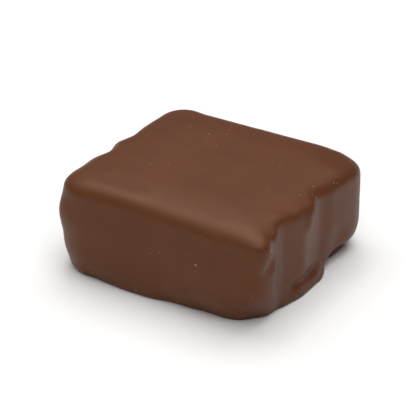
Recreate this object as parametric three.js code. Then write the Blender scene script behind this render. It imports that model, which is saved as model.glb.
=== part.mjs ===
// A square of milk chocolate: a soft-edged block that was dipped in chocolate and left to set on a flat
// sheet. The coat has settled into upright folds on its walls, has run out into a thin foot at one side and
// ends in a lip just above the sole.
//
// Millimetres, +Z up. The sole lies on Z = 0 with the origin under its middle. The long smooth wall faces
// -Y, the wall with the deep folds and the foot faces +X.

import * as THREE from 'three';
import { mergeVertices } from 'three/addons/utils/BufferGeometryUtils.js';

const { Vector2, Vector3 } = THREE;
const { clamp, smoothstep } = THREE.MathUtils;

// The block before its coat settles. Its top rises towards the front.
const LENGTH = 27.4;
const WIDTH = 26;
const HEIGHT = 11.55;
const FRONT_RISE = 0.35;
const CORNER_RADIUS = 4.5;
const RIM_RADIUS = 0.9;

// The top slopes down to its rim, gently over the shoulder and steeply at the edge.
const SHOULDER_DROP = 0.55;
const SHOULDER_REACH = 6.5;
const EDGE_DROP = 0.65;
const EDGE_REACH = 2.1;
const EDGE_INSET = 0.3;

// The folds of the walls run up to this height.
const FOLD_TOP = 10.3;

// The walls draw in towards the foot of the block.
const TUCK_INSET = 0.75;
const TUCK_HEIGHT = 3.2;

// The coat ends in a lip above a sole that stands back from it.
const LIP_HEIGHT = 0.15;
const SOLE_INSET = 0.4;

// Grid lines on the block, closer together near its edges. The two lowest rows of the walls are the sole's.
const COLUMNS_X = 34;
const COLUMNS_Y = 32;
const ROWS = 16;
const SOLE_ROWS = 2;
const CROWDING = 0.35;

const FRONT = new Vector3(0, -1, 0);
const BACK = new Vector3(0, 1, 0);
const RIGHT = new Vector3(1, 0, 0);
const LEFT = new Vector3(-1, 0, 0);
const UP = new Vector3(0, 0, 1);
const FRONT_RIGHT = new Vector3(0.7, -0.7, 0);
const FRONT_LEFT = new Vector3(-0.7, -0.7, 0);
const BACK_RIGHT = new Vector3(0.7, 0.7, 0);

// A swelling of the coat, or a hollow where push is negative: the surface round the line from one point to
// the other moves by push along way, and the move fades out at reach.
function swelling(way, push, reach, from, to = from) {
  return { move: way.clone().multiplyScalar(push), reach, line: new THREE.Line3(from, to), lift: 0 };
}

// A swelling that goes on at full strength from its line up to a height above it.
function band(way, push, reach, from, to, lift) {
  return { ...swelling(way, push, reach, from, to), lift };
}

// An upright fold on the wall that faces way, from a height up to the rim. Along is its X or Y there.
function fold(way, along, low, push, reach) {
  const foot = new Vector3(way.x ? way.x * LENGTH / 2 : along, way.y ? way.y * WIDTH / 2 : along, low);
  return swelling(way, push, reach, foot, foot.clone().setZ(FOLD_TOP));
}

const SWELLINGS = [
  // The back right corner of the top hangs lower. The back left one and parts of two rims stand higher.
  swelling(UP, -0.4, 4.5, new Vector3(11.5, 10.5, HEIGHT - 1)),
  swelling(UP, 0.2, 4, new Vector3(-9, -11.9, HEIGHT - 1), new Vector3(-4, -11.9, HEIGHT - 1)),
  swelling(BACK, 0.35, 4, new Vector3(-9.5, -12.9, 10.2), new Vector3(8.5, -12.9, 10.2)),
  swelling(UP, 0.15, 2.4, new Vector3(13, -6.5, HEIGHT - 1)),
  swelling(UP, 0.2, 3, new Vector3(-11, 11.5, HEIGHT - 1)),

  // A thick lobe hangs at the front right corner, small ones at the front left and the back right.
  swelling(FRONT_RIGHT, 1.05, 3.6, new Vector3(12.2, -11.6, 5), new Vector3(12.2, -11.6, FOLD_TOP)),
  swelling(RIGHT, 0.8, 2.8, new Vector3(13.2, -12, 9.3), new Vector3(13.2, -12, 10.3)),
  swelling(FRONT_LEFT, 0.6, 3, new Vector3(-12, -11, 7.3)),
  swelling(FRONT_LEFT, 0.2, 3, new Vector3(-12, -11, 4.8)),
  swelling(BACK_RIGHT, 0.45, 4, new Vector3(12, 11, 4), new Vector3(12, 11, 9)),

  // The folds of the four walls.
  fold(RIGHT, -7, 3.5, -0.3, 2.4),
  fold(RIGHT, -2.9, 3.5, 0.32, 2.6),
  fold(RIGHT, 1.7, 3.5, -0.35, 2.8),
  fold(RIGHT, 8.2, 3.5, 0.35, 5),
  fold(LEFT, -7, 6.5, -0.2, 3.4),
  fold(LEFT, -2.2, 5, -0.7, 3),
  fold(LEFT, 2.8, 5, -0.6, 3),
  fold(LEFT, 6, 5, -0.35, 3),
  fold(LEFT, 8.6, 5, -0.4, 2.6),
  fold(FRONT, -0.5, 4, -0.1, 3.6),
  fold(FRONT, 4, 4, 0.15, 3.6),
  fold(FRONT, 8, 4, 0.35, 3.6),
  swelling(BACK, 0.35, 3.2, new Vector3(-6.5, 12.9, 2), new Vector3(-6.5, 12.9, 6.5)),
  swelling(BACK, -0.4, 3.2, new Vector3(-1, 12.9, 2), new Vector3(-1, 12.9, 6.5)),
  swelling(BACK, 0.3, 3.4, new Vector3(5.5, 12.9, 2), new Vector3(5.5, 12.9, 6.5)),

  // Slanting ridges on the right wall, and a hollow above the break behind the foot.
  swelling(RIGHT, 0.45, 1.8, new Vector3(13.7, -0.6, 10.1), new Vector3(13.9, -1.7, 8.8)),
  swelling(RIGHT, -0.25, 3, new Vector3(13.6, 5.2, 3)),
  swelling(RIGHT, 0.35, 1.8, new Vector3(13.6, -8.9, 10), new Vector3(13.4, -9.5, 7)),
  swelling(RIGHT, 0.25, 2.6, new Vector3(13.4, -9.5, 6), new Vector3(13.4, -10, 3.5)),
  swelling(RIGHT, 0.2, 1.5, new Vector3(13.6, -10.9, 9.6), new Vector3(13.4, -11.7, 7.8)),

  // The coat's lower edge swells out along the front and draws in near the corners.
  swelling(FRONT, 0.35, 3.6, new Vector3(-5.5, -12.3, 0.2), new Vector3(-0.5, -12.3, 0.2)),
  swelling(FRONT, -0.2, 3, new Vector3(2, -12.4, 0.2), new Vector3(5.5, -12.3, 0.2)),
  swelling(FRONT, -0.35, 3.4, new Vector3(7.8, -12.2, 0.2), new Vector3(10, -12, 0.2)),
  swelling(RIGHT, -0.5, 2, new Vector3(12.6, -11, 0.2)),
  swelling(BACK, 0.2, 3, new Vector3(-10.5, -11.8, 0.2), new Vector3(-6, -12.6, 0.2)),

  // The foot at the right, with a crease above it. The coat is broken back and raised behind its end.
  swelling(RIGHT, 0.55, 2, new Vector3(13, -5.7, 0.2), new Vector3(13, 1.8, 0.2)),
  band(RIGHT, 0.2, 1, new Vector3(13.3, -4.9, 0.3), new Vector3(13.3, 1.2, 0.3), 0.8),
  band(RIGHT, 0.2, 1, new Vector3(13.4, -4.1, 0.3), new Vector3(13.4, 0.6, 0.3), 0.8),
  band(RIGHT, 0.15, 1, new Vector3(13.5, -3.2, 0.3), new Vector3(13.5, 0, 0.3), 0.8),
  swelling(RIGHT, 0.3, 1.2, new Vector3(13.3, 1.2, 0.3), new Vector3(13.2, 2.2, 0.3)),
  swelling(RIGHT, -0.15, 1, new Vector3(13.5, -5, 2), new Vector3(13.6, 0.9, 1.9)),
  swelling(RIGHT, -0.55, 1.5, new Vector3(12.9, 4.9, 0.4)),
  swelling(RIGHT, -0.4, 2.4, new Vector3(12.9, 6, 0.2), new Vector3(12.9, 8.4, 0.2)),
  swelling(UP, 0.8, 2.2, new Vector3(12.9, 5.6, 0.2), new Vector3(12.7, 9.2, 0.2)),
  swelling(FRONT_LEFT, 0.2, 2, new Vector3(-12, -10.8, 0.2), new Vector3(-9.6, -12, 0.2)),
];

// Where a grid line lies, as a share of the way from one edge to the other.
function crowd(share) {
  return share - CROWDING * Math.sin(2 * Math.PI * share) / (2 * Math.PI);
}

// Keeps the direction and takes the length of the longer part, so a square corner becomes a quarter disc.
function squareToDisc(offset) {
  return offset.setLength(Math.max(Math.abs(offset.x), Math.abs(offset.y)));
}

// The nearest point in plan on the part of the block that lies inside its corner radius.
function corePoint(point) {
  return new Vector2(
    clamp(point.x, CORNER_RADIUS - LENGTH / 2, LENGTH / 2 - CORNER_RADIUS),
    clamp(point.y, CORNER_RADIUS - WIDTH / 2, WIDTH / 2 - CORNER_RADIUS),
  );
}

// Moves a point of the plain box to the block with round upright corners and a round upper rim.
function roundOff(point) {
  const core = corePoint(point);
  const outward = squareToDisc(new Vector2(point.x, point.y).sub(core));
  const rimStart = new Vector2(CORNER_RADIUS - RIM_RADIUS, HEIGHT - RIM_RADIUS);
  const rim = new Vector2(outward.length(), point.z).sub(rimStart);
  if (rim.x > 0 && rim.y > 0) {
    squareToDisc(rim).add(rimStart);
    outward.setLength(rim.x);
    point.z = rim.y;
  }
  point.x = core.x + outward.x;
  point.y = core.y + outward.y;
}

// How far inside the block's walls a point lies in plan.
function distanceFromWall(point) {
  const outward = new Vector2(point.x, point.y).distanceTo(corePoint(point));
  const inward = Math.min(LENGTH / 2 - Math.abs(point.x), WIDTH / 2 - Math.abs(point.y));
  return Math.min(CORNER_RADIUS - outward, inward);
}

// One at a distance of zero, falling in a curve to zero at reach.
function fade(distance, reach) {
  return Math.max(0, 1 - Math.max(0, distance) / reach) ** 2;
}

// Lowers the rim, and with it the top towards the rim, and raises the front. The lip keeps its height.
function slopeTop(point) {
  const inside = distanceFromWall(point) - EDGE_INSET;
  const drop = SHOULDER_DROP * fade(inside, SHOULDER_REACH) + EDGE_DROP * fade(inside, EDGE_REACH);
  const rise = FRONT_RISE * (0.5 - point.y / WIDTH);
  point.z += (rise - drop) * (point.z - LIP_HEIGHT) / (HEIGHT - LIP_HEIGHT);
}

// Draws the walls in near the foot of the block.
function tuckIn(point) {
  const tuck = TUCK_INSET * fade(point.z - LIP_HEIGHT, TUCK_HEIGHT);
  point.x *= 1 - tuck / (LENGTH / 2);
  point.y *= 1 - tuck / (WIDTH / 2);
}

function swell(point) {
  const nearest = new Vector3();
  for (const { move, reach, line, lift } of SWELLINGS) {
    line.closestPointToPoint(point, true, nearest);
    nearest.z += clamp(point.z - nearest.z, 0, lift);
    point.addScaledVector(move, smoothstep(reach - nearest.distanceTo(point), 0, reach));
  }
}

function shapePoint(point) {
  const row = Math.round(point.z / HEIGHT * ROWS);
  const share = Math.max(0, (row - SOLE_ROWS) / (ROWS - SOLE_ROWS));
  point.x = LENGTH * (crowd(point.x / LENGTH + 0.5) - 0.5);
  point.y = WIDTH * (crowd(point.y / WIDTH + 0.5) - 0.5);
  point.z = LIP_HEIGHT + (HEIGHT - LIP_HEIGHT) * crowd(share);
  roundOff(point);
  slopeTop(point);
  tuckIn(point);
  swell(point);
  point.z = Math.max(point.z, LIP_HEIGHT);
  if (row < SOLE_ROWS) {
    point.x *= 1 - SOLE_INSET / (LENGTH / 2);
    point.y *= 1 - SOLE_INSET / (WIDTH / 2);
    point.z = row === 0 ? 0 : LIP_HEIGHT;
  }
}

function makeChocolateSquare() {
  const box = new THREE.BoxGeometry(LENGTH, WIDTH, HEIGHT, COLUMNS_X, COLUMNS_Y, ROWS);
  box.translate(0, 0, HEIGHT / 2);
  box.deleteAttribute('normal');
  box.deleteAttribute('uv');
  const geometry = mergeVertices(box);
  const positions = geometry.getAttribute('position');
  const point = new Vector3();
  for (let i = 0; i < positions.count; i += 1) {
    point.fromBufferAttribute(positions, i);
    shapePoint(point);
    positions.setXYZ(i, point.x, point.y, point.z);
  }
  geometry.computeBoundingBox();
  const middle = geometry.boundingBox.getCenter(new Vector3());
  geometry.translate(-middle.x, -middle.y, 0);
  geometry.computeVertexNormals();

  const milkChocolate = new THREE.MeshStandardMaterial({ color: 0x673d29, roughness: 0.45, metalness: 0 });
  const square = new THREE.Mesh(geometry, milkChocolate);
  square.name = 'chocolate_square';
  return square;
}

const group = new THREE.Group();
group.add(makeChocolateSquare());

export default group;
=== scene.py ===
"""A coated square of milk chocolate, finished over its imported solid, on a plain pale floor.

Lengths are metres, and MM turns millimetres into metres. The sole lies on Z = 0, the long smooth wall
faces -Y and the folded wall with the foot faces +X.
"""

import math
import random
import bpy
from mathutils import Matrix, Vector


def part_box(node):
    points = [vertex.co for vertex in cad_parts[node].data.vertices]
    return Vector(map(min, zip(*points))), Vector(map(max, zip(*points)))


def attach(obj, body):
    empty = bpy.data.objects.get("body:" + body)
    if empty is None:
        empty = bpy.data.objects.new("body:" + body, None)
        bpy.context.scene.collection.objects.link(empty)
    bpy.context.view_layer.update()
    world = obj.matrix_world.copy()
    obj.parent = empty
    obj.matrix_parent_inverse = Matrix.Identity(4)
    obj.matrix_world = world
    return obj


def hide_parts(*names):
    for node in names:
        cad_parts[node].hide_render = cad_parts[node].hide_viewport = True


bl_info = {
    "name": "Milk Chocolate Square",
    "version": (1, 0, 0),
    "blender": (4, 5, 0),
    "location": "View3D > Sidebar > Chocolate",
    "description": "Models a coated square of milk chocolate and a plain studio round it",
    "category": "Object",
}

import bpy
from mathutils import Quaternion, Vector
from mathutils.kdtree import KDTree

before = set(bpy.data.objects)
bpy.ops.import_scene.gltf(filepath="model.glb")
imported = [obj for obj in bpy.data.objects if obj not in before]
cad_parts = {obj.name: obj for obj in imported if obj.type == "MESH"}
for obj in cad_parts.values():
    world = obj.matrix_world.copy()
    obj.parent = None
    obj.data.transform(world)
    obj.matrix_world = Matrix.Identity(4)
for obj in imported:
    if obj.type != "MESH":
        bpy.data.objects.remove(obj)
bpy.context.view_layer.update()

MM = 0.001
NODE = "chocolate_square"

FRONT = Vector((0, -1, 0))
BACK = Vector((0, 1, 0))
RIGHT = Vector((1, 0, 0))
LEFT = Vector((-1, 0, 0))
UP = Vector((0, 0, 1))
FRONT_RIGHT = Vector((0.7, -0.7, 0))
FRONT_LEFT = Vector((-0.7, -0.7, 0))
BACK_RIGHT = Vector((0.7, 0.7, 0))


# ---------------------------------------------------------------- settings


class ChocolateShape(bpy.types.PropertyGroup):
    """Sizes of the block and its coat"""

    length: bpy.props.FloatProperty(
        name="Length", description="Size of the block along X",
        default=27.4 * MM, unit="LENGTH")
    width: bpy.props.FloatProperty(
        name="Width", description="Size of the block along Y",
        default=26.0 * MM, unit="LENGTH")
    height: bpy.props.FloatProperty(
        name="Height", description="Height of the block at its back",
        default=11.55 * MM, unit="LENGTH")
    front_rise: bpy.props.FloatProperty(
        name="Front Rise", description="How much higher the block is at its front than at its back",
        default=0.35 * MM, unit="LENGTH")
    corner_radius: bpy.props.FloatProperty(
        name="Corner Radius", description="Radius of the upright corners",
        default=4.5 * MM, unit="LENGTH")
    rim_radius: bpy.props.FloatProperty(
        name="Rim Radius", description="Radius of the upper rim before the form is softened",
        default=0.4 * MM, unit="LENGTH")
    softness: bpy.props.IntProperty(
        name="Softness", description="How often the form is smoothed to round its edges", default=10)
    shoulder_drop: bpy.props.FloatProperty(
        name="Shoulder Drop", description="How far the top slopes down to its rim",
        default=0.55 * MM, unit="LENGTH")
    shoulder_reach: bpy.props.FloatProperty(
        name="Shoulder Reach", description="Distance from the rim over which the top slopes",
        default=6.5 * MM, unit="LENGTH")
    edge_drop: bpy.props.FloatProperty(
        name="Edge Drop", description="How much lower the top's edge lies beside the rim",
        default=0.65 * MM, unit="LENGTH")
    edge_reach: bpy.props.FloatProperty(
        name="Edge Reach", description="Distance from the rim over which the edge lies lower",
        default=2.1 * MM, unit="LENGTH")
    fold_top: bpy.props.FloatProperty(
        name="Fold Top", description="Height up to which the folds of the walls run",
        default=10.3 * MM, unit="LENGTH")
    tuck_inset: bpy.props.FloatProperty(
        name="Tuck Inset", description="How far the walls draw in at the foot of the block",
        default=0.75 * MM, unit="LENGTH")
    tuck_height: bpy.props.FloatProperty(
        name="Tuck Height", description="Height over which the walls draw in",
        default=3.2 * MM, unit="LENGTH")
    lip_height: bpy.props.FloatProperty(
        name="Lip Height", description="Height of the coat's lower edge above the ground",
        default=0.15 * MM, unit="LENGTH")
    sole_inset: bpy.props.FloatProperty(
        name="Sole Inset", description="How far the sole stands back from the lip",
        default=0.4 * MM, unit="LENGTH")
    speck_count: bpy.props.IntProperty(
        name="Speck Count", description="Number of small pale specks in the coat", default=110)
    grain: bpy.props.FloatProperty(
        name="Grain", description="Size of the faces that the form is shaped with",
        default=0.3 * MM, unit="LENGTH")


class ChocolateColours(bpy.types.PropertyGroup):
    """Colours of the chocolate, its specks and the floor"""

    milk: bpy.props.FloatVectorProperty(
        name="Milk Chocolate", description="Colour of the coat",
        default=(0.1, 0.031, 0.0125), subtype="COLOR")
    speck: bpy.props.FloatVectorProperty(
        name="Specks", description="Colour of the pale specks in the coat",
        default=(0.42, 0.25, 0.17), subtype="COLOR")
    floor: bpy.props.FloatVectorProperty(
        name="Floor", description="Colour of the pale floor",
        default=(0.86, 0.855, 0.85), subtype="COLOR")


class ChocolateCamera(bpy.types.PropertyGroup):
    """Where the camera stands and what it looks at"""

    azimuth: bpy.props.FloatProperty(
        name="Azimuth", description="Turn of the camera from the front towards the right",
        default=math.radians(31.7), subtype="ANGLE")
    elevation: bpy.props.FloatProperty(
        name="Elevation", description="Height of the camera above the horizon",
        default=math.radians(28.2), subtype="ANGLE")
    distance: bpy.props.FloatProperty(
        name="Distance", description="Distance from the camera to the point it looks at",
        default=240 * MM, unit="LENGTH")
    aim: bpy.props.FloatVectorProperty(
        name="Aim", description="Point that the camera looks at",
        default=(-0.5 * MM, 0.0, 5.63 * MM), subtype="TRANSLATION", unit="LENGTH")
    focal_pixels: bpy.props.FloatProperty(
        name="Focal Pixels", description="Focal length in pixels of the 420 pixel frame",
        default=2077.0)


# ---------------------------------------------------------------- mesh tools


def deselect_all():
    bpy.ops.object.select_all(action="DESELECT")


def edit(piece, kind="VERT"):
    """Opens the mesh of the piece to edit its vertices or edges."""
    bpy.context.view_layer.objects.active = piece
    bpy.ops.object.mode_set(mode="EDIT")
    bpy.ops.mesh.select_mode(type=kind)


def leave_edit():
    bpy.ops.object.mode_set(mode="OBJECT")


def select(piece, kind, test):
    """Opens the piece with only those of its vertices or edges selected that pass the test."""
    edit(piece, kind)
    bpy.ops.mesh.select_all(action="DESELECT")
    leave_edit()
    items = piece.data.vertices if kind == "VERT" else piece.data.edges
    for item in items:
        item.select = test(item)
    bpy.ops.object.mode_set(mode="EDIT")


def fading(falloff, reach):
    """Settings with which a move of the selected part fades out in the surface round it."""
    return {
        "use_proportional_edit": True,
        "use_proportional_connected": False,
        "proportional_edit_falloff": falloff,
        "proportional_size": reach,
    }


def apply_modifier(piece, kind, **settings):
    modifier = piece.modifiers.new(kind.title(), kind)
    for name, value in settings.items():
        setattr(modifier, name, value)
    bpy.context.view_layer.objects.active = piece
    bpy.ops.object.modifier_apply(modifier=modifier.name)


def vertex_tree(mesh):
    tree = KDTree(len(mesh.vertices))
    for vertex in mesh.vertices:
        tree.insert(vertex.co, vertex.index)
    tree.balance()
    return tree


def swell(piece, way, push, reach, start, end=None, lift=0):
    """Moves the surface round the line from start to end along way, and all above it up to the lift.

    The move fades out at reach, and a negative push makes a hollow. Sizes are in millimetres.
    """
    start = Vector(start) * MM
    end = Vector(end) * MM if end else start
    spacing = 0.3 * MM  # between the points of the line, each of which takes the vertex nearest to it
    steps = max(1, round((end - start).length / spacing))
    rows = round(lift * MM / spacing)
    tree = vertex_tree(piece.data)
    on_line = set()
    for row in range(rows + 1):
        raised = Vector((0, 0, row * spacing))
        on_line |= {tree.find(start.lerp(end, step / steps) + raised)[1] for step in range(steps + 1)}
    select(piece, "VERT", lambda vertex: vertex.index in on_line)
    bpy.ops.transform.translate(value=way * push * MM, **fading("SMOOTH", reach * MM))
    leave_edit()


# ---------------------------------------------------------------- shader tools

# Places of the Mix node's sockets for colours, which share their names with those for other kinds.
MIX_FACTOR = 0
MIX_FIRST = 6
MIX_SECOND = 7
MIX_RESULT = 2


class Socket:
    """A socket whose arithmetic adds Math nodes to its tree."""

    def __init__(self, shader, output):
        self.shader = shader
        self.output = output

    def math(self, operation, other):
        return self.shader.node("ShaderNodeMath", {"operation": operation}, {0: self, 1: other})

    def __add__(self, other):
        return self.math("ADD", other)

    def __mul__(self, other):
        return self.math("MULTIPLY", other)

    __radd__ = __add__
    __rmul__ = __mul__


class Shader:
    """A material's node tree with one method that adds nodes."""

    def __init__(self, name):
        self.material = bpy.data.materials.new(name)
        self.material.use_nodes = True
        self.tree = self.material.node_tree
        self.surface = self.tree.nodes["Principled BSDF"]

    def link(self, value, socket):
        if isinstance(value, Socket):
            self.tree.links.new(value.output, socket)
        else:
            socket.default_value = value

    def node(self, kind, settings, inputs, output=0):
        """Adds a node, sets it up, feeds its sockets and returns one of its outputs."""
        made = self.tree.nodes.new(kind)
        for name, value in settings.items():
            setattr(made, name, value)
        for name, value in inputs.items():
            self.link(value, made.inputs[name])
        return Socket(self, made.outputs[output])

    def noise(self, place, scale, detail):
        """Noise with about as many patches to the metre as the scale says."""
        return self.node("ShaderNodeTexNoise", {}, {"Vector": place, "Scale": scale, "Detail": detail})

    def mix(self, factor, first, second):
        """A colour between the first and the second."""
        return self.node(
            "ShaderNodeMix", {"data_type": "RGBA"},
            {MIX_FACTOR: factor, MIX_FIRST: first, MIX_SECOND: second}, output=MIX_RESULT)

    def set(self, **values):
        """Feeds the surface's sockets, whose spaces are underscores here."""
        for name, value in values.items():
            self.link(value, self.surface.inputs[name.replace("_", " ")])


def tone(colour, strength=1):
    """The colour times the strength, as red, green, blue and alpha."""
    return (*(channel * strength for channel in colour), 1)


# ---------------------------------------------------------------- materials


def milk_chocolate(colours):
    """A satin brown with broad faint patches and a very fine grain."""
    shader = Shader("milk_chocolate")
    place = shader.node("ShaderNodeTexCoord", {}, {}, output="Object")
    patches = shader.noise(place, 160.0, 3.0)
    mottle = shader.node("ShaderNodeMapRange", {}, {"Value": patches, "From Min": 0.3, "From Max": 0.7})
    colour = shader.mix(mottle, tone(colours.milk, 0.95), tone(colours.milk, 1.06))
    grain = shader.noise(place, 1500.0, 2.0)
    bump = shader.node(
        "ShaderNodeBump", {}, {"Strength": 0.12, "Distance": 0.05 * MM, "Height": grain})
    shader.set(
        Base_Color=colour, Roughness=0.42 + mottle * 0.06, Normal=bump, IOR=1.45,
        Specular_IOR_Level=0.36, Specular_Tint=(1, 0.7, 0.49, 1))
    return shader.material


def speck_grain(colours):
    """The pale specks, some of them darker than others."""
    shader = Shader("pale_speck")
    place = shader.node("ShaderNodeTexCoord", {}, {}, output="Object")
    patches = shader.noise(place, 900.0, 1.0)
    colour = shader.mix(patches, tone(colours.speck, 0.6), tone(colours.speck))
    shader.set(Base_Color=colour, Roughness=0.5)
    return shader.material


def pale_floor(colours):
    shader = Shader("pale_floor")
    shader.set(Base_Color=tone(colours.floor), Roughness=0.9)
    return shader.material


# ---------------------------------------------------------------- the square

SKIRT_DEPTH = 3 * MM  # how far the block goes on below its lip until it is cut off there
LIP_WIDTH = 0.12 * MM  # over which the uneven edge of the lip comes level below
WAVE_LENGTH = 2.2 * MM
WAVE_HEIGHT = 0.03 * MM
SMOOTH_ANGLE = math.radians(50)


def top_height(shape, y):
    """The height of the block's top, which rises evenly from the back to the front."""
    return shape.height + shape.front_rise * (0.5 - y / shape.width)


def rounded_block(shape):
    """A box with round upright corners, a small round upper rim and a top that rises to the front."""
    low = shape.lip_height - SKIRT_DEPTH
    deselect_all()
    bpy.ops.mesh.primitive_cube_add(
        size=1, location=(0, 0, (low + shape.height) / 2),
        scale=(shape.length, shape.width, shape.height - low))
    block = bpy.context.object
    block.name = block.data.name = "chocolate_coat"
    bpy.ops.object.transform_apply(location=True, rotation=True, scale=True)
    select(block, "VERT", lambda vertex: vertex.co.z > 0 and vertex.co.y < 0)
    bpy.ops.transform.translate(value=(0, 0, shape.front_rise))
    leave_edit()
    tiny = 0.01 * MM

    def ends(edge):
        return [block.data.vertices[index].co for index in edge.vertices]

    def upright(edge):
        a, b = ends(edge)
        return (a - b).xy.length < tiny

    def on_rim(edge):
        return all(end.z > shape.height - tiny for end in ends(edge))

    select(block, "EDGE", upright)
    bpy.ops.mesh.bevel(offset=shape.corner_radius, segments=12, affect="EDGES")
    leave_edit()
    select(block, "EDGE", on_rim)
    bpy.ops.mesh.bevel(offset=shape.rim_radius, segments=4, affect="EDGES")
    leave_edit()
    apply_modifier(block, "REMESH", mode="VOXEL", voxel_size=shape.grain, use_smooth_shade=True)
    return block


def slope_shoulder(block, shape):
    """Lowers the walls, and with them the top towards its rim, gently first and steeply at its edge."""
    margin = 0.4 * shape.grain
    below_top = {
        vertex.index for vertex in block.data.vertices
        if vertex.co.z < top_height(shape, vertex.co.y) - margin}
    for drop, reach in ((shape.shoulder_drop, shape.shoulder_reach), (shape.edge_drop, shape.edge_reach)):
        select(block, "VERT", lambda vertex: vertex.index in below_top)
        bpy.ops.transform.translate(value=(0, 0, -drop), **fading("SHARP", reach))
        leave_edit()


def soften(block, shape):
    """Rounds the edges and cuts the block off at the height of the lip."""
    apply_modifier(block, "SMOOTH", factor=0.5, iterations=shape.softness)
    sliver = 0.2 * shape.grain
    edit(block)
    bpy.ops.mesh.select_all(action="SELECT")
    bpy.ops.mesh.bisect(plane_co=(0, 0, shape.lip_height), plane_no=(0, 0, 1), clear_inner=True)
    bpy.ops.mesh.select_all(action="SELECT")
    bpy.ops.mesh.remove_doubles(threshold=sliver)
    leave_edit()


def tuck_in(block, shape):
    """Draws the walls in near the foot of the block."""
    margin = 0.3 * shape.grain
    select(block, "VERT", lambda vertex: vertex.co.z < shape.lip_height + margin)
    both_sides = shape.tuck_inset * 2
    bpy.ops.transform.resize(
        value=(1 - both_sides / shape.length, 1 - both_sides / shape.width, 1),
        center_override=(0, 0, 0), **fading("SHARP", shape.tuck_height))
    leave_edit()


def fold(block, shape, way, along, low, push, reach):
    """An upright fold on the wall that faces way, up to the rim. Sizes are in millimetres."""
    x = way.x * shape.length / 2 / MM if way.x else along
    y = way.y * shape.width / 2 / MM if way.y else along
    swell(block, way, push, reach, (x, y, low), (x, y, shape.fold_top / MM))


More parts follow.
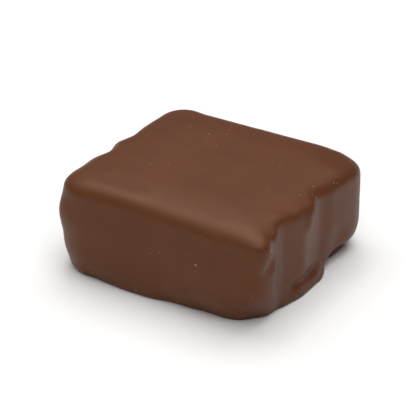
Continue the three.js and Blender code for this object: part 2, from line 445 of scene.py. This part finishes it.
def settle_coat(block, shape):
    """The swellings and hollows of the coat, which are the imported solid's and in the same order."""
    rim = shape.height / MM - 1
    fold_top = shape.fold_top / MM

    # The back right corner of the top hangs lower. The back left one and parts of two rims stand higher.
    swell(block, UP, -0.4, 4.5, (11.5, 10.5, rim))
    swell(block, UP, 0.2, 4, (-9, -11.9, rim), (-4, -11.9, rim))
    swell(block, BACK, 0.35, 4, (-9.5, -12.9, 10.2), (8.5, -12.9, 10.2))
    swell(block, UP, 0.15, 2.4, (13, -6.5, rim))
    swell(block, UP, 0.2, 3, (-11, 11.5, rim))

    # A thick lobe hangs at the front right corner, small ones at the front left and the back right.
    swell(block, FRONT_RIGHT, 1.05, 3.6, (12.2, -11.6, 5), (12.2, -11.6, fold_top))
    swell(block, RIGHT, 0.8, 2.8, (13.2, -12, 9.3), (13.2, -12, 10.3))
    swell(block, FRONT_LEFT, 0.6, 3, (-12, -11, 7.3))
    swell(block, FRONT_LEFT, 0.2, 3, (-12, -11, 4.8))
    swell(block, BACK_RIGHT, 0.45, 4, (12, 11, 4), (12, 11, 9))

    # The folds of the four walls.
    fold(block, shape, RIGHT, -7, 3.5, -0.3, 2.4)
    fold(block, shape, RIGHT, -2.9, 3.5, 0.32, 2.6)
    fold(block, shape, RIGHT, 1.7, 3.5, -0.35, 2.8)
    fold(block, shape, RIGHT, 8.2, 3.5, 0.35, 5)
    fold(block, shape, LEFT, -7, 6.5, -0.2, 3.4)
    fold(block, shape, LEFT, -2.2, 5, -0.7, 3)
    fold(block, shape, LEFT, 2.8, 5, -0.6, 3)
    fold(block, shape, LEFT, 6, 5, -0.35, 3)
    fold(block, shape, LEFT, 8.6, 5, -0.4, 2.6)
    fold(block, shape, FRONT, -0.5, 4, -0.1, 3.6)
    fold(block, shape, FRONT, 4, 4, 0.15, 3.6)
    fold(block, shape, FRONT, 8, 4, 0.35, 3.6)
    swell(block, BACK, 0.35, 3.2, (-6.5, 12.9, 2), (-6.5, 12.9, 6.5))
    swell(block, BACK, -0.4, 3.2, (-1, 12.9, 2), (-1, 12.9, 6.5))
    swell(block, BACK, 0.3, 3.4, (5.5, 12.9, 2), (5.5, 12.9, 6.5))

    # Slanting ridges on the right wall, and a hollow above the break behind the foot.
    swell(block, RIGHT, 0.45, 1.8, (13.7, -0.6, 10.1), (13.9, -1.7, 8.8))
    swell(block, RIGHT, -0.25, 3, (13.6, 5.2, 3))
    swell(block, RIGHT, 0.35, 1.8, (13.6, -8.9, 10), (13.4, -9.5, 7))
    swell(block, RIGHT, 0.25, 2.6, (13.4, -9.5, 6), (13.4, -10, 3.5))
    swell(block, RIGHT, 0.2, 1.5, (13.6, -10.9, 9.6), (13.4, -11.7, 7.8))

    # The coat's lower edge swells out along the front and draws in near the corners.
    swell(block, FRONT, 0.35, 3.6, (-5.5, -12.3, 0.2), (-0.5, -12.3, 0.2))
    swell(block, FRONT, -0.2, 3, (2, -12.4, 0.2), (5.5, -12.3, 0.2))
    swell(block, FRONT, -0.35, 3.4, (7.8, -12.2, 0.2), (10, -12, 0.2))
    swell(block, RIGHT, -0.5, 2, (12.6, -11, 0.2))
    swell(block, BACK, 0.2, 3, (-10.5, -11.8, 0.2), (-6, -12.6, 0.2))

    # The foot at the right, with a crease above it. The coat is broken back and raised behind its end.
    swell(block, RIGHT, 0.55, 2, (13, -5.7, 0.2), (13, 1.8, 0.2))
    swell(block, RIGHT, 0.2, 1, (13.3, -4.9, 0.3), (13.3, 1.2, 0.3), lift=0.8)
    swell(block, RIGHT, 0.2, 1, (13.4, -4.1, 0.3), (13.4, 0.6, 0.3), lift=0.8)
    swell(block, RIGHT, 0.15, 1, (13.5, -3.2, 0.3), (13.5, 0, 0.3), lift=0.8)
    swell(block, RIGHT, 0.3, 1.2, (13.3, 1.2, 0.3), (13.2, 2.2, 0.3))
    swell(block, RIGHT, -0.15, 1, (13.5, -5, 2), (13.6, 0.9, 1.9))
    swell(block, RIGHT, -0.55, 1.5, (12.9, 4.9, 0.4))
    swell(block, RIGHT, -0.4, 2.4, (12.9, 6, 0.2), (12.9, 8.4, 0.2))
    swell(block, UP, 0.8, 2.2, (12.9, 5.6, 0.2), (12.7, 9.2, 0.2))

    # The lip stands out a little at the front left corner.
    swell(block, FRONT_LEFT, 0.2, 2, (-12, -10.8, 0.2), (-9.6, -12, 0.2))


def roughen(block):
    """Gives the coat the slight unevenness of chocolate that has set."""
    waves = bpy.data.textures.new("coat_waves", "CLOUDS")
    waves.noise_scale = WAVE_LENGTH
    waves.noise_depth = 1
    apply_modifier(
        block, "DISPLACE", texture=waves, texture_coords="LOCAL", strength=WAVE_HEIGHT, mid_level=0.5)


def flatten(height):
    """Brings the selected part to one height."""
    bpy.ops.transform.resize(value=(1, 1, 0), center_override=(0, 0, height))


def add_sole(block, shape):
    """Closes the coat below with a lip and a sole that stands back from it on the ground."""
    edit(block)
    bpy.ops.mesh.select_all(action="DESELECT")
    bpy.ops.mesh.select_non_manifold()
    bpy.ops.mesh.edge_face_add()
    bpy.ops.mesh.inset(thickness=LIP_WIDTH)
    flatten(shape.lip_height)
    bpy.ops.mesh.inset(thickness=shape.sole_inset - LIP_WIDTH)
    bpy.ops.mesh.extrude_region_move(TRANSFORM_OT_translate={"value": (0, 0, -shape.lip_height)})
    leave_edit()


def centre_on_frame(piece):
    """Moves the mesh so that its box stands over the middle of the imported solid's box."""
    low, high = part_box(NODE)
    xs = [vertex.co.x for vertex in piece.data.vertices]
    ys = [vertex.co.y for vertex in piece.data.vertices]
    middle = Vector((min(xs) + max(xs), min(ys) + max(ys), 0)) / 2
    piece.location = Vector(((low.x + high.x) / 2, (low.y + high.y) / 2, 0)) - middle
    deselect_all()
    piece.select_set(True)
    bpy.ops.object.transform_apply(location=True, rotation=True, scale=True)


class CHOCOLATE_OT_square(bpy.types.Operator):
    """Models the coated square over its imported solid"""

    bl_idname = "chocolate.square"
    bl_label = "Chocolate Square"

    def execute(self, context):
        shape = context.scene.chocolate_shape
        block = rounded_block(shape)
        slope_shoulder(block, shape)
        soften(block, shape)
        tuck_in(block, shape)
        settle_coat(block, shape)
        apply_modifier(block, "SUBSURF", levels=1, render_levels=1)
        roughen(block)
        add_sole(block, shape)
        centre_on_frame(block)
        bpy.ops.object.shade_smooth_by_angle(angle=SMOOTH_ANGLE)
        block.data.materials.clear()
        block.data.materials.append(milk_chocolate(context.scene.chocolate_colours))
        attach(block, "root")
        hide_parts(NODE)
        return {"FINISHED"}


# ---------------------------------------------------------------- the specks

SPECK_SEED = 11
SMALL_SPECK_RADII = (0.03, 0.075)  # in millimetres

# Shares of a speck's radius: half its size along, across and out of the coat, and how deep its middle lies.
SPECK_LENGTHS = (0.7, 1.1)
SPECK_WIDTHS = (0.6, 0.9)
SPECK_HEIGHT = 0.55
SPECK_DEPTH = 0.3

# Larger specks and crumbs that stand out: X, Y and Z of a point beside each, and its radius, in millimetres.
LARGE_SPECKS = (
    # On the walls and their corners.
    (5.8, -13.2, 6.6, 0.17), (-0.3, -12.9, 6.1, 0.08), (1, -13, 6.6, 0.1), (4.6, -13.2, 7.4, 0.08),
    (-12.5, -11.8, 6.6, 0.18), (13.2, -11, 9.6, 0.2), (14, -1.9, 4, 0.19),
    # On the right rim.
    (13, 4.9, 10.7, 0.13), (13.1, 5.3, 10.4, 0.1), (11.7, -0.8, 11.2, 0.11), (11.9, 2, 11.2, 0.11),
    (12.6, 0.8, 10.9, 0.09), (13, 1.1, 10.6, 0.09),
    # On the top.
    (-8.8, 9.6, 11.5, 0.12), (-7.7, 7.3, 11.7, 0.09), (-4.7, 6.5, 11.8, 0.13), (-2.9, 7.7, 11.7, 0.1),
    (-2.3, 4.3, 11.9, 0.09), (2.3, 7.3, 11.7, 0.08), (-4.2, -3, 11.9, 0.1), (-6, -3.8, 11.8, 0.09),
    (6.7, 3.5, 11.8, 0.1),
    # Crumbs along the lip at the front.
    (-12, -11, 0.6, 0.25), (-11.3, -11.6, 0.6, 0.3), (-10.9, -11.9, 0.5, 0.25), (-10.2, -12.2, 0.5, 0.18),
    (-8.6, -12.7, 0.8, 0.13), (-2.4, -13, 0.6, 0.15), (2.8, -12.9, 0.2, 0.12),
)


def add_speck(coat, near, radius, rng):
    """Adds a flat grain to the mesh in edit, sunk more than half into the coat at its nearest point."""
    _, place, normal, _ = coat.closest_point_on_mesh(near)
    turn = normal.to_track_quat("Z", "Y") @ Quaternion((0, 0, 1), rng.uniform(0, math.tau))
    bpy.ops.mesh.primitive_ico_sphere_add(
        subdivisions=2, radius=radius, location=place - normal * SPECK_DEPTH * radius,
        rotation=turn.to_euler(),
        scale=(rng.uniform(*SPECK_LENGTHS), rng.uniform(*SPECK_WIDTHS), SPECK_HEIGHT))


def scattered_point(shape, over_top, rng):
    """A point at random over the top, or else outside a wall."""
    across = Vector((rng.uniform(-0.5, 0.5) * shape.length, rng.uniform(-0.5, 0.5) * shape.width, 0))
    if over_top:
        return across + Vector((0, 0, shape.height))
    return across.normalized() * shape.length + Vector((0, 0, rng.uniform(0.1, 0.9) * shape.height))


class CHOCOLATE_OT_specks(bpy.types.Operator):
    """Models the pale specks in the coat and the crumbs along its lip"""

    bl_idname = "chocolate.specks"
    bl_label = "Pale Specks"

    def execute(self, context):
        shape = context.scene.chocolate_shape
        coat = bpy.data.objects["chocolate_coat"]
        rng = random.Random(SPECK_SEED)
        deselect_all()
        # The first sphere makes the object and is then deleted from its mesh.
        bpy.ops.mesh.primitive_ico_sphere_add(subdivisions=2, radius=0.1 * MM)
        specks = context.object
        specks.name = specks.data.name = "pale_specks"
        edit(specks)
        bpy.ops.mesh.select_all(action="SELECT")
        bpy.ops.mesh.delete(type="VERT")
        for x, y, z, radius in LARGE_SPECKS:
            add_speck(coat, Vector((x, y, z)) * MM, radius * MM, rng)
        for number in range(shape.speck_count):
            near = scattered_point(shape, number % 2, rng)
            add_speck(coat, near, rng.uniform(*SMALL_SPECK_RADII) * MM, rng)
        leave_edit()
        bpy.ops.object.shade_smooth()
        specks.data.materials.append(speck_grain(context.scene.chocolate_colours))
        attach(specks, "root")
        return {"FINISHED"}


# ---------------------------------------------------------------- the studio

FLOOR_SIZE = 3.0
LIGHT_DISTANCE = 0.8
LIGHT_SIZE = 0.65
WORLD_ON_CHOCOLATE = 0.06  # strength of the white world as light
WORLD_IN_VIEW = 0.95  # its strength where the camera sees it
PHOTO_PIXELS = 420
SENSOR_WIDTH = 36  # in millimetres, as Blender takes it

# Soft lights: name, azimuth and elevation in degrees, and power in watts.
LIGHTS = (
    ("right_light", 52, 64, 3.35),
    ("back_light", 186, 67, 3.75),
    ("left_light", 240, 58, 2.1),
    ("rim_light", 284, 56, 0.6),
    ("front_light", 350, 25, 0.93),
)


def aim_at(thing, target):
    thing.rotation_euler = (Vector(target) - thing.location).to_track_quat("-Z", "Y").to_euler()


def towards(azimuth, elevation):
    """The direction to a place round the chocolate. Azimuth 0 is the front and 90 degrees the right."""
    return Vector((
        math.sin(azimuth) * math.cos(elevation),
        -math.cos(azimuth) * math.cos(elevation),
        math.sin(elevation)))


def add_light(name, azimuth, elevation, power):
    """A square soft light that faces the chocolate. Angles are in degrees."""
    place = towards(math.radians(azimuth), math.radians(elevation)) * LIGHT_DISTANCE
    bpy.ops.object.light_add(type="AREA", location=place)
    light = bpy.context.object
    light.name = name
    light.data.size = LIGHT_SIZE
    light.data.energy = power
    aim_at(light, (0, 0, 0))


def add_surroundings(scene):
    """A white world that lights the chocolate only weakly, so that the soft lights model its form."""
    world = bpy.data.worlds.new("soft_surroundings")
    world.use_nodes = True
    tree = world.node_tree
    surroundings = tree.nodes["Background"]
    surroundings.inputs["Color"].default_value = (1, 1, 1, 1)
    path = tree.nodes.new("ShaderNodeLightPath")
    strength = tree.nodes.new("ShaderNodeMapRange")
    strength.inputs["To Min"].default_value = WORLD_ON_CHOCOLATE
    strength.inputs["To Max"].default_value = WORLD_IN_VIEW
    tree.links.new(path.outputs["Is Camera Ray"], strength.inputs["Value"])
    tree.links.new(strength.outputs["Result"], surroundings.inputs["Strength"])
    scene.world = world


def add_camera(settings):
    """A camera on the photo's line of sight with the photo's frame."""
    aim = Vector(settings.aim)
    back = towards(settings.azimuth, settings.elevation)
    bpy.ops.object.camera_add(location=aim + back * settings.distance)
    camera = bpy.context.object
    camera.name = "photo_camera"
    camera.data.sensor_width = SENSOR_WIDTH
    camera.data.lens = settings.focal_pixels * SENSOR_WIDTH / PHOTO_PIXELS
    camera.data.clip_start = 1 * MM
    camera.data.clip_end = 10
    aim_at(camera, aim)
    bpy.context.scene.camera = camera


class CHOCOLATE_OT_studio(bpy.types.Operator):
    """Adds the pale floor, the soft lights and the camera"""

    bl_idname = "chocolate.studio"
    bl_label = "Studio"

    def execute(self, context):
        deselect_all()
        scene = context.scene
        bpy.ops.mesh.primitive_plane_add(size=FLOOR_SIZE, location=(0, 0, 0))
        floor = context.object
        floor.name = floor.data.name = "floor"
        floor.data.materials.append(pale_floor(scene.chocolate_colours))
        for light in LIGHTS:
            add_light(*light)
        add_surroundings(scene)
        add_camera(scene.chocolate_camera)
        scene.view_settings.view_transform = "Standard"
        return {"FINISHED"}


# ---------------------------------------------------------------- the add-on


class CHOCOLATE_PT_panel(bpy.types.Panel):
    """Lists the pieces of the square and its studio"""

    bl_idname = "CHOCOLATE_PT_panel"
    bl_label = "Milk Chocolate Square"
    bl_space_type = "VIEW_3D"
    bl_region_type = "UI"
    bl_category = "Chocolate"

    def draw(self, context):
        layout = self.layout
        for name, group in GROUPS.items():
            column = layout.column(align=True)
            for setting in group.__annotations__:
                column.prop(getattr(context.scene, name), setting)
        for operator in OPERATORS:
            layout.operator(operator.bl_idname)


GROUPS = {
    "chocolate_shape": ChocolateShape,
    "chocolate_colours": ChocolateColours,
    "chocolate_camera": ChocolateCamera,
}
OPERATORS = (CHOCOLATE_OT_square, CHOCOLATE_OT_specks, CHOCOLATE_OT_studio)
CLASSES = (*GROUPS.values(), *OPERATORS, CHOCOLATE_PT_panel)


def register():
    for item in CLASSES:
        bpy.utils.register_class(item)
    for name, group in GROUPS.items():
        setattr(bpy.types.Scene, name, bpy.props.PointerProperty(type=group))


def unregister():
    for name in GROUPS:
        delattr(bpy.types.Scene, name)
    for item in reversed(CLASSES):
        bpy.utils.unregister_class(item)


def main():
    register()
    bpy.ops.chocolate.square()
    bpy.ops.chocolate.specks()
    bpy.ops.chocolate.studio()


if __name__ == "__main__":
    main()
